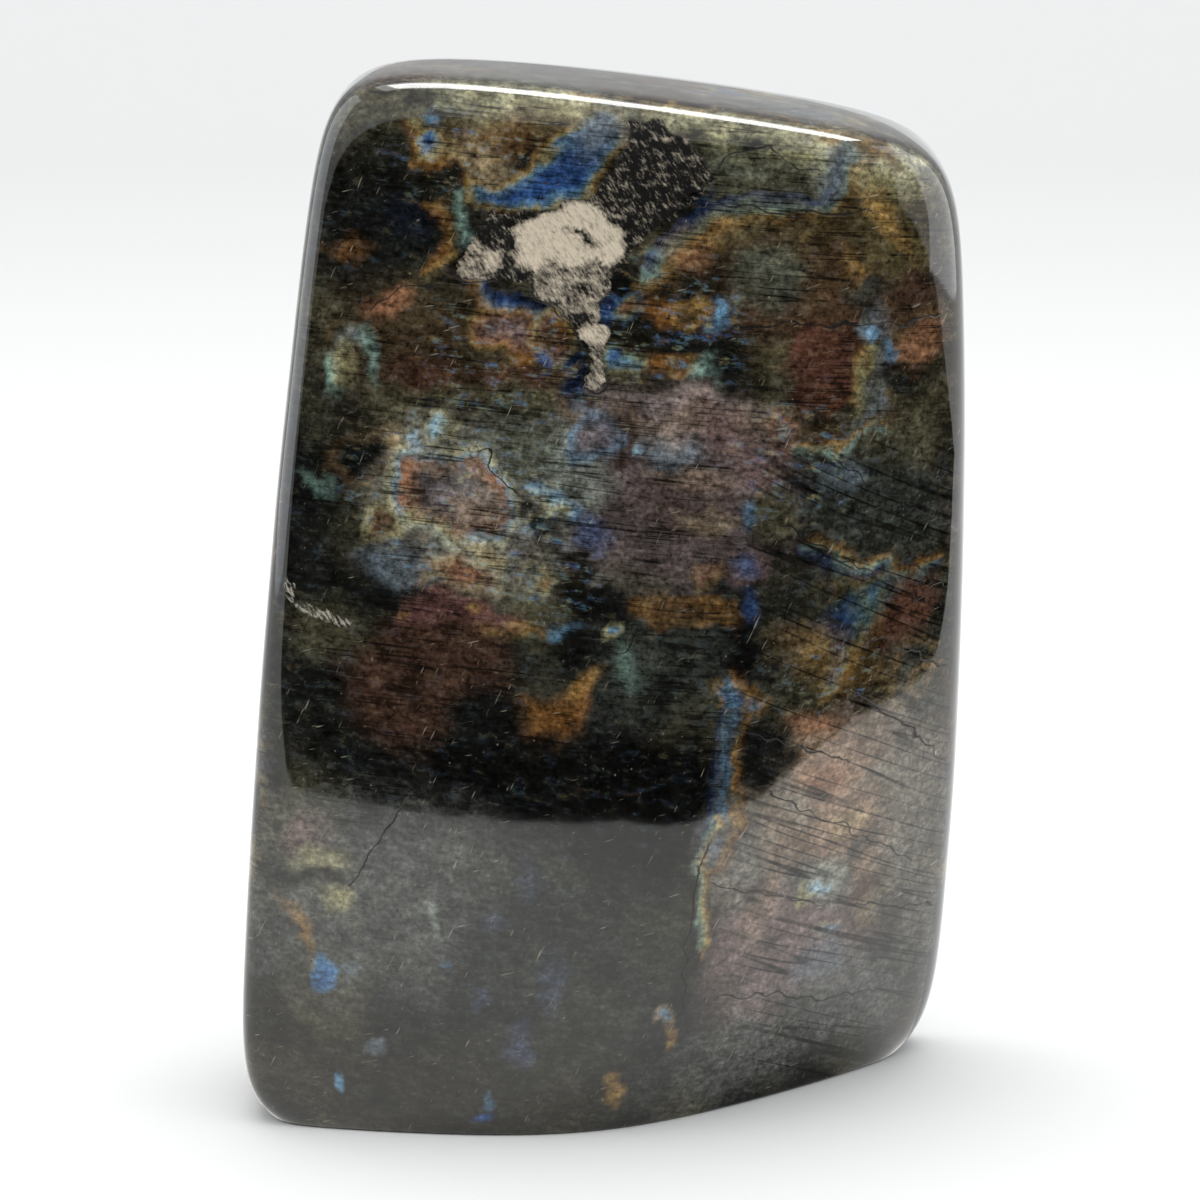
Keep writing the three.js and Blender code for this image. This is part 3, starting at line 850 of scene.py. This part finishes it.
def polished_labradorite():
    """Labradorite feldspar, lapped and polished: a dark body under a glass-bright skin.

    The eye sees sharp reflections over deep colour, cut by parallel cleavage lines, with dull pits.
    """
    material, tree = new_material("labradorite, lapped and polished")
    put = functools.partial(add, tree)
    place = put("ShaderNodeTexCoord", out="Object")
    mark = {name: put("ShaderNodeAttribute", out="Fac", attribute_name=name)
            for name in ("pocket", "pocket_white", "crack_side", "crack_near", "bruise", "slant", "calm",
                         "lively")}
    noise = {}
    swing = {}
    for name, grain in GRAINS.items():
        size = (grain.along * METRES_PER_MM, grain.along * METRES_PER_MM, grain.across * METRES_PER_MM)
        way = put("ShaderNodeMapping", {
            "Vector": place, "Rotation": (0, math.radians(grain.tilt), 0), "Scale": size},
            vector_type="TEXTURE")
        noise[name] = put("ShaderNodeTexNoise", {
            "Vector": way, "Scale": 1, "Detail": grain.detail, "Roughness": grain.roughness})
        swing[name] = put("ShaderNodeMath", (noise[name], 0.5), operation="SUBTRACT")

    # The painted colours, lighter and darker in clouds and mottles, less so where the stone is calm
    body = put("ShaderNodeAttribute", out="Color", attribute_name="body")
    clouded = put("ShaderNodeMapRange", (noise["clouds"], 0.3, 0.7, 0.45, 1.5))
    mottled = put("ShaderNodeMapRange", (noise["mottle"], 0.25, 0.75, 0.15, 1.9))
    grained = put("ShaderNodeMapRange", (noise["flecks"], 0.3, 0.7, 0.4, 1.6))
    uneven = put("ShaderNodeMath", (clouded, mottled), operation="MULTIPLY")
    uneven = put("ShaderNodeMath", (uneven, grained), operation="MULTIPLY")
    calmed = put("ShaderNodeMapRange", (mark["calm"], 0, 1, 1, 0.8))
    lit = put("ShaderNodeMix", {0: calmed, 2: 1.0, 3: uneven})
    body = put("ShaderNodeVectorMath", {0: body, "Scale": lit}, operation="SCALE")

    # Flecks of flash about 1 mm across, with hues that drift over 3 mm
    scale = put("ShaderNodeMapRange", (noise["hues"], 0.3, 0.7))
    fleck = put("ShaderNodeValToRGB", (scale,))
    stops = fleck.node.color_ramp.elements
    for step, name in enumerate(FLECK_COLOURS):
        at = step / (len(FLECK_COLOURS) - 1)
        stop = stops[0] if step == 0 else stops[-1] if at == 1 else stops.new(at)
        stop.color = linear(COLOURS[name])
    bright = put("ShaderNodeMapRange", (noise["mottle"], 0.54, 0.68))
    share = put("ShaderNodeMath", (bright, mark["lively"]), operation="MULTIPLY")
    share = put("ShaderNodeMath", (share, calmed), operation="MULTIPLY")
    share = put("ShaderNodeMath", (share, 0.6), operation="MULTIPLY")
    body = put("ShaderNodeMix", {0: share, 6: body, 7: fleck}, out=2, data_type="RGBA")

    # Cleavage: dark hairlines where a stretched grain crosses its middle, level or slanting
    hairline = {}
    for name in ("level cleavage", "slanting cleavage"):
        crossing = put("ShaderNodeMath", (swing[name],), operation="ABSOLUTE")
        hairline[name] = put("ShaderNodeMapRange", (crossing, 0.036, 0.008))
    present = put("ShaderNodeMapRange", (noise["clouds"], 0.6, 0.44, 0, 0.8))
    level = put("ShaderNodeMath", (hairline["level cleavage"], present), operation="MULTIPLY")
    few = put("ShaderNodeMapRange", (mark["calm"], 0, 1, 1, 0.25))
    level = put("ShaderNodeMath", (level, few), operation="MULTIPLY")
    present = put("ShaderNodeMapRange", (noise["clouds"], 0.62, 0.42, 0.4, 1))
    slanting = put("ShaderNodeMath", (hairline["slanting cleavage"], present), operation="MULTIPLY")
    lines = put("ShaderNodeMix", {0: mark["slant"], 2: level, 3: slanting})

    # Cracks follow their paths, made jagged by the mottling; pits are black grains of about 0.4 mm
    jag = put("ShaderNodeMath", (swing["mottle"], 0.9, mark["crack_side"]), operation="MULTIPLY_ADD")
    off_crack = put("ShaderNodeMath", (jag,), operation="ABSOLUTE")
    crack = put("ShaderNodeMapRange", (off_crack, 0.2, 0.05))
    near = put("ShaderNodeMapRange", (mark["crack_near"], 0.2, 0.6))
    crack = put("ShaderNodeMath", (crack, near), operation="MULTIPLY")
    pits = put("ShaderNodeMapRange", (noise["flecks"], 0.32, 0.25, 0, 0.75))
    dark = put("ShaderNodeMath", (lines, crack), operation="MAXIMUM")
    dark = put("ShaderNodeMath", (dark, pits), operation="MAXIMUM")
    body = put("ShaderNodeMix", {0: dark, 6: body, 7: linear(LINE_BLACK)}, out=2, data_type="RGBA")

    # Pale scratches of the lap, in two ways, and a few pale specks
    pale = put("ShaderNodeMapRange", (noise["flecks"], 0.7, 0.77, 0, 0.5))
    pale = put("ShaderNodeMath", (pale, calmed), operation="MULTIPLY")
    for name in ("upright scratches", "level scratches"):
        scratch = put("ShaderNodeMapRange", (noise[name], 0.71, 0.77, 0, 0.4))
        pale = put("ShaderNodeMath", (pale, scratch), operation="MAXIMUM")
    body = put("ShaderNodeMix", {0: pale, 6: body, 7: linear(SCRATCH_PALE)}, out=2, data_type="RGBA")

    # The pocket: cream grains on charcoal, more of them where it is whiter
    white = put("ShaderNodeMath", (swing["hatch"], 1.9, mark["pocket_white"]), operation="MULTIPLY_ADD")
    white = put("ShaderNodeMath", (swing["mottle"], 1.2, white), operation="MULTIPLY_ADD")
    white = put("ShaderNodeMapRange", (white, 0.25, 0.95))
    matte = put("ShaderNodeMix", {0: white, 6: linear(CHARCOAL), 7: linear(CREAM)},
                out=2, data_type="RGBA")
    chalky = put("ShaderNodeMapRange", (noise["hatch"], 0.3, 0.6, 0.6, 1))
    matte = put("ShaderNodeVectorMath", {0: matte, "Scale": chalky}, operation="SCALE")
    pocket = put("ShaderNodeMath", (swing["mottle"], 2.6, mark["pocket"]), operation="MULTIPLY_ADD")
    pocket = put("ShaderNodeMapRange", (pocket, -0.1, 0.25))
    body = put("ShaderNodeMix", {0: pocket, 6: body, 7: matte}, out=2, data_type="RGBA")
    bruise = put("ShaderNodeMath", (swing["hatch"], 3.0, mark["bruise"]), operation="MULTIPLY_ADD")
    bruise = put("ShaderNodeMapRange", (bruise, 0.8, 1.15))
    body = put("ShaderNodeMix", {0: bruise, 6: body, 7: linear(BRUISE_PALE)}, out=2, data_type="RGBA")

    dull = put("ShaderNodeMath", (pocket, bruise), operation="MAXIMUM")
    dull = put("ShaderNodeMath", (dull, crack), operation="MAXIMUM")
    rough = put("ShaderNodeMapRange", (dull, 0, 1, 0.05, 0.38))
    gloss = put("ShaderNodeMapRange", (pocket, 0, 1, 0.5, 0.15))
    depth = put("ShaderNodeMath", (noise["hatch"], pocket), operation="MULTIPLY")
    depth = put("ShaderNodeMath", (depth, crack), operation="SUBTRACT")
    bump = put("ShaderNodeBump", {"Height": depth, "Strength": 0.15, "Distance": 0.0001})
    surface = put("ShaderNodeBsdfPrincipled", {
        "Base Color": body, "Roughness": rough, "IOR": FELDSPAR_IOR, "Specular IOR Level": gloss,
        "Normal": bump})
    put("ShaderNodeOutputMaterial", {"Surface": surface})
    return material


def plain_material(name, colour, roughness):
    """Matte studio paper or card in one colour."""
    material, tree = new_material(name)
    surface = add(tree, "ShaderNodeBsdfPrincipled", {
        "Base Color": linear(colour), "Roughness": roughness, "Specular IOR Level": 0.0})
    add(tree, "ShaderNodeOutputMaterial", {"Surface": surface})
    return material


def glowing_material(name, colour, strength, share=None):
    """A card that gives off light, evenly or by the share that an attribute of its points holds."""
    material, tree = new_material(name)
    if share:
        part = add(tree, "ShaderNodeAttribute", out="Fac", attribute_name=share)
        strength = add(tree, "ShaderNodeMath", (part, strength), operation="MULTIPLY")
    glow = add(tree, "ShaderNodeEmission", (linear(colour), strength))
    add(tree, "ShaderNodeOutputMaterial", {"Surface": glow})
    return material


def swept_sheet(name, profile, half_width, material):
    """A sheet: a profile of (y, z) points carried straight along x, in metres."""
    profile = np.array(profile)
    edges = np.array((-half_width, half_width))
    points = np.empty((len(profile), 2, 3))
    points[..., 0] = edges
    points[..., 1:] = profile[:, None, :]
    start = np.arange(len(profile) - 1) * 2
    quads = np.stack((start, start + 1, start + 3, start + 2), axis=-1)
    mesh = bpy.data.meshes.new(name)
    mesh.from_pydata(points.reshape(-1, 3).tolist(), [], quads.tolist())
    mesh.polygons.foreach_set("use_smooth", np.ones(len(quads), dtype=bool))
    mesh.materials.append(material)
    sheet = bpy.data.objects.new(name, mesh)
    bpy.context.collection.objects.link(sheet)
    return sheet


# The paper, in metres: its front end, where it starts to turn up, and its size
PAPER_BEFORE = -2.5
PAPER_BEHIND = 1.3
PAPER_RADIUS = 0.5
PAPER_TOP = 2.0
PAPER_HALF_WIDTH = 2.5
PAPER_BEND_STEPS = 24


def make_paper():
    """Pale seamless paper: a floor that turns up behind in a quarter circle."""
    turn = np.linspace(0, np.pi / 2, PAPER_BEND_STEPS)
    bend = np.stack((PAPER_BEHIND + PAPER_RADIUS * np.sin(turn), PAPER_RADIUS * (1 - np.cos(turn))), axis=-1)
    profile = [(PAPER_BEFORE, 0), *map(tuple, bend), (PAPER_BEHIND + PAPER_RADIUS, PAPER_TOP)]
    material = plain_material("matte white paper", "#f8f8f7", 0.9)
    return swept_sheet("pale_paper", profile, PAPER_HALF_WIDTH, material)


# The pale floor that the polished front mirrors ends here; past it the room is dark
FLAG_EDGE = ((-0.95, -0.6), (-0.35, -0.285), (-0.13, -0.178), (-0.1, -0.179), (-0.06, -0.174),
             (-0.03, -0.162), (0.015, -0.138), (0.065, -0.092), (0.095, -0.062), (0.15, -0.026),
             (0.21, 0.024), (0.4, 0.17))
FLAG_FAR = -1.2
FLAG_TOP = 0.5
FLAG_SPREAD_LEFT = 2  # the flag's far edge is this many times as wide
FLAG_SPREAD_RIGHT = 5
FLAG_LIFT = 0.0006  # the sheets lie this far above the paper
FLOOR_LIFT = 0.0003
FLOOR_LEFT = (-0.9, 0.3)
FLOOR_START = 0.02  # the bright floor begins under the stone, at this share of the way to its edge
FLOOR_GLOW = 1.3
SHADE_HALF_SIZE = (0.038, 0.012)  # of the oval on the floor where the stone's shade is deepest
SHADE_EASE = 0.024  # how far it takes to brighten past that oval
SHADE_GLOW = 0.1  # of the full glow


class Card(NamedTuple):
    """A flat lit card: two opposite corners in metres, its cloth, colour and strength of glow."""

    corner: tuple
    opposite: tuple
    cloth: str
    colour: str
    glow: float


# The top one makes the bright line along the top edge, the side ones the pale bands down the edges, and
# the back one, a dim one, shows in the flat top so that its markings can be seen
CARDS = {
    "top_card": Card((-0.3, -0.2, 0.86), (0.5, 0.14, 0.86), "softbox cloth", "#ffffff", 16),
    "left_card": Card((-0.7, -0.3, 0.01), (-0.7, 0.5, 0.9), "left_card cloth", "#f6faff", 2.8),
    "right_card": Card((0.7, -0.15, 0.01), (0.7, 0.5, 0.9), "right_card cloth", "#f6faff", 2.8),
    "back_card": Card((-0.7, 0.9, 0.2), (0.7, 0.9, 1.1), "grey cloth", "#ffffff", 0.5),
}

# The lamp, the surround and the camera
SURROUND_STRENGTH = 0.94
LAMP_WIDTH = 0.9
LAMP_DEPTH = 0.6
LAMP_HEIGHT = 1.0
LAMP_WATTS = 5.0
CAMERA_PLACE = (-0.00065, -0.6303, 0.214)
CAMERA_DOWN = 12.2  # degrees below level
CAMERA_SENSOR = 36.0  # millimetres, as is the lens
CAMERA_LENS = 127.5


def reflected_sheet(name, points, rows, material):
    """A stage sheet seen only in reflections: a grid of points in rows of equal length, in metres."""
    count = len(points) // rows
    start = (np.arange(rows - 1)[:, None] * count + np.arange(count - 1)).reshape(-1)
    quads = np.stack((start, start + 1, start + count + 1, start + count), axis=-1)
    mesh = bpy.data.meshes.new(name)
    mesh.from_pydata(points.tolist(), [], quads.tolist())
    mesh.materials.append(material)
    sheet = bpy.data.objects.new(name, mesh)
    bpy.context.collection.objects.link(sheet)
    sheet.visible_camera = False
    sheet.visible_diffuse = False
    sheet.visible_shadow = False
    sheet.visible_transmission = False
    return sheet


def make_dark_flag():
    """A black sheet: on the floor from its curved edge forwards, then up."""
    edge = np.array(FLAG_EDGE)
    spread = np.where(edge[:, 0] > 0, FLAG_SPREAD_RIGHT, FLAG_SPREAD_LEFT)
    far = np.column_stack((edge[:, 0] * spread, np.full(len(edge), FLAG_FAR)))
    points = np.concatenate((np.insert(edge, 2, FLAG_LIFT, axis=1), np.insert(far, 2, FLAG_LIFT, axis=1),
                             np.insert(far, 2, FLAG_TOP, axis=1)))
    return reflected_sheet("dark_flag", points, 3, plain_material("black cloth", "#050505", 1.0))


def make_bright_floor():
    """A bright sheet on the floor between the stone and the flag's edge, shaded beside the stone's foot."""
    edge = np.array((FLOOR_LEFT, *FLAG_EDGE))
    way = edge / np.linalg.norm(edge, axis=1, keepdims=True)
    shade = way / np.linalg.norm(way / SHADE_HALF_SIZE, axis=1, keepdims=True)
    rows = (edge * FLOOR_START, shade, shade + way * SHADE_EASE, edge)
    points = np.insert(np.concatenate(rows), 2, FLOOR_LIFT, axis=1)
    material = glowing_material("lit white card", "#fbfbf8", FLOOR_GLOW, share="glow")
    sheet = reflected_sheet("bright_floor", points, len(rows), material)
    glow = np.repeat((SHADE_GLOW, SHADE_GLOW, 1.0, 1.0), len(edge)).astype(np.float32)
    sheet.data.attributes.new("glow", "FLOAT", "POINT").data.foreach_set("value", glow)
    return sheet


def make_cards():
    """The lit cards: each one's four corners, from the two axes along which its corners differ."""
    for name, card in CARDS.items():
        points = np.tile(np.array(card.corner), (4, 1))
        first, second = np.flatnonzero(points[0] != card.opposite)
        points[1::2, first] = card.opposite[first]
        points[2:, second] = card.opposite[second]
        reflected_sheet(name, points, 2, glowing_material(card.cloth, card.colour, card.glow))


def make_light():
    """Soft studio light: a pale surround and one broad softbox overhead."""
    world = bpy.data.worlds.new("pale studio")
    world.use_nodes = True
    background = world.node_tree.nodes["Background"]
    background.inputs["Color"].default_value = linear("#f4f6f8")
    background.inputs["Strength"].default_value = SURROUND_STRENGTH
    bpy.context.scene.world = world
    lamp = bpy.data.lights.new("overhead_softbox", "AREA")
    lamp.shape = "RECTANGLE"
    lamp.size = LAMP_WIDTH
    lamp.size_y = LAMP_DEPTH
    lamp.energy = LAMP_WATTS
    box = bpy.data.objects.new("overhead_softbox", lamp)
    box.location = (0, 0, LAMP_HEIGHT)
    bpy.context.collection.objects.link(box)


def make_camera():
    """The camera, looking a little down on the stone from in front, without roll or shift."""
    data = bpy.data.cameras.new("camera")
    data.sensor_width = CAMERA_SENSOR
    data.lens = CAMERA_LENS
    camera = bpy.data.objects.new("camera", data)
    camera.location = CAMERA_PLACE
    camera.rotation_euler = (math.radians(90 - CAMERA_DOWN), 0, 0)
    bpy.context.collection.objects.link(camera)
    bpy.context.scene.camera = camera


make_camera()
make_light()
make_paper()
make_dark_flag()
make_bright_floor()
make_cards()
bpy.context.scene.view_settings.view_transform = "Standard"

stone = make_stone()
stone.data.materials.append(polished_labradorite())
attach(stone, "root")
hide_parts(STONE_NODE)
